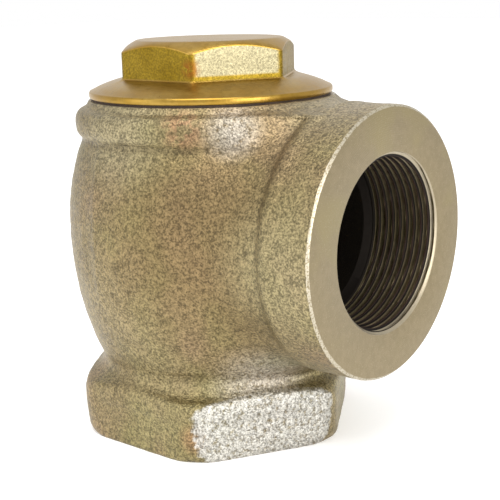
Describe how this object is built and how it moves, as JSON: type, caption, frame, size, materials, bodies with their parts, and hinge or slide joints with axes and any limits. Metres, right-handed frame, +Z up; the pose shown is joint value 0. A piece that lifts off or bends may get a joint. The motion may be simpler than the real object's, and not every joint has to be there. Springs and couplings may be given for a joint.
{
  "type": "pressure relief valve",
  "caption": "Angle pattern spring loaded relief valve with a threaded inlet in a hexagon base, a bulb shaped cast body, a threaded side outlet and a closed hexagon cap.",
  "frame": {"origin": "centre of the flat inlet face under the hexagon base", "axes": "+Z up the inlet axis towards the cap, +X out along the outlet axis, corners of the base hexagon at plus and minus X"},
  "size_m": [0.1011, 0.0832, 0.1104],
  "materials": {
    "cast_bronze": "blasted sand casting, dull olive bronze",
    "cap_brass": "machined forging, satin yellow brass",
    "machined_bronze": "fine turned bronze",
    "machined_brass": "fine turned brass",
    "stainless": "fine turned stainless steel",
    "spring_steel": "drawn spring wire",
    "disc_rubber": "moulded black elastomer",
    "fibre": "pressed fibre sheet",
    "white_polymer": "turned bearing polymer"
  },
  "bodies": {
    "housing": {"body": "cast_bronze", "seat_ring": "machined_bronze", "seat_gasket": "fibre", "spring_carrier": "machined_brass", "spring": "spring_steel"},
    "valve_disc": {"wing_guide": "machined_brass", "disc_washer": "stainless", "seat_disc": "disc_rubber", "disc_holder": "machined_brass", "spindle_ball": "stainless", "lower_spring_seat": "machined_brass"},
    "stem": {"spindle": "stainless", "spindle_clip": "spring_steel"},
    "spring_top": {"upper_spring_seat": "machined_brass", "thrust_washer": "machined_bronze"},
    "adjuster": {"adjusting_screw": "machined_brass", "guide_bush": "white_polymer"},
    "nut_base": {"lock_washer": "stainless"},
    "nut": {"lock_nut": "machined_brass"},
    "cap_base": {"cap_seal": "fibre"},
    "closed_cap": {"cap": "cap_brass"}
  },
  "joints": [
    {"name": "disc_lift", "type": "slide", "parent": "housing", "child": "valve_disc", "axis": [0, 0, 1], "range_m": [0, 0.005], "stiffness_N_per_m": 13900, "springref_m": -0.01, "deforming": ["spring"]},
    {"name": "spindle_turn", "type": "hinge", "parent": "valve_disc", "child": "stem", "pos_m": [0, 0, 0.0515], "axis": [0, 0, 1], "continuous": true},
    {"name": "adjust_travel", "type": "slide", "parent": "housing", "child": "spring_top", "axis": [0, 0, 1], "range_m": [-0.0015, 0.0015]},
    {"name": "adjust_turn", "type": "hinge", "parent": "spring_top", "child": "adjuster", "pos_m": [0, 0, 0.0835], "axis": [0, 0, 1], "range_deg": [-360, 360]},
    {"name": "nut_travel", "type": "slide", "parent": "housing", "child": "nut_base", "axis": [0, 0, 1], "range_m": [0, 0.0005]},
    {"name": "nut_turn", "type": "hinge", "parent": "nut_base", "child": "nut", "pos_m": [0, 0, 0.095], "axis": [0, 0, 1], "range_deg": [0, 120]},
    {"name": "cap_travel", "type": "slide", "parent": "housing", "child": "cap_base", "axis": [0, 0, 1], "range_m": [0, 0.0066]},
    {"name": "cap_turn", "type": "hinge", "parent": "cap_base", "child": "closed_cap", "pos_m": [0, 0, 0.095], "axis": [0, 0, 1], "range_deg": [0, 1188]}
  ],
  "couplings": [
    {"joint": "adjust_turn", "follows": "adjust_travel", "rad_per_m": 4188.8},
    {"joint": "nut_turn", "follows": "nut_travel", "rad_per_m": 4188.8},
    {"joint": "cap_turn", "follows": "cap_travel", "rad_per_m": 3141.6}
  ]
}
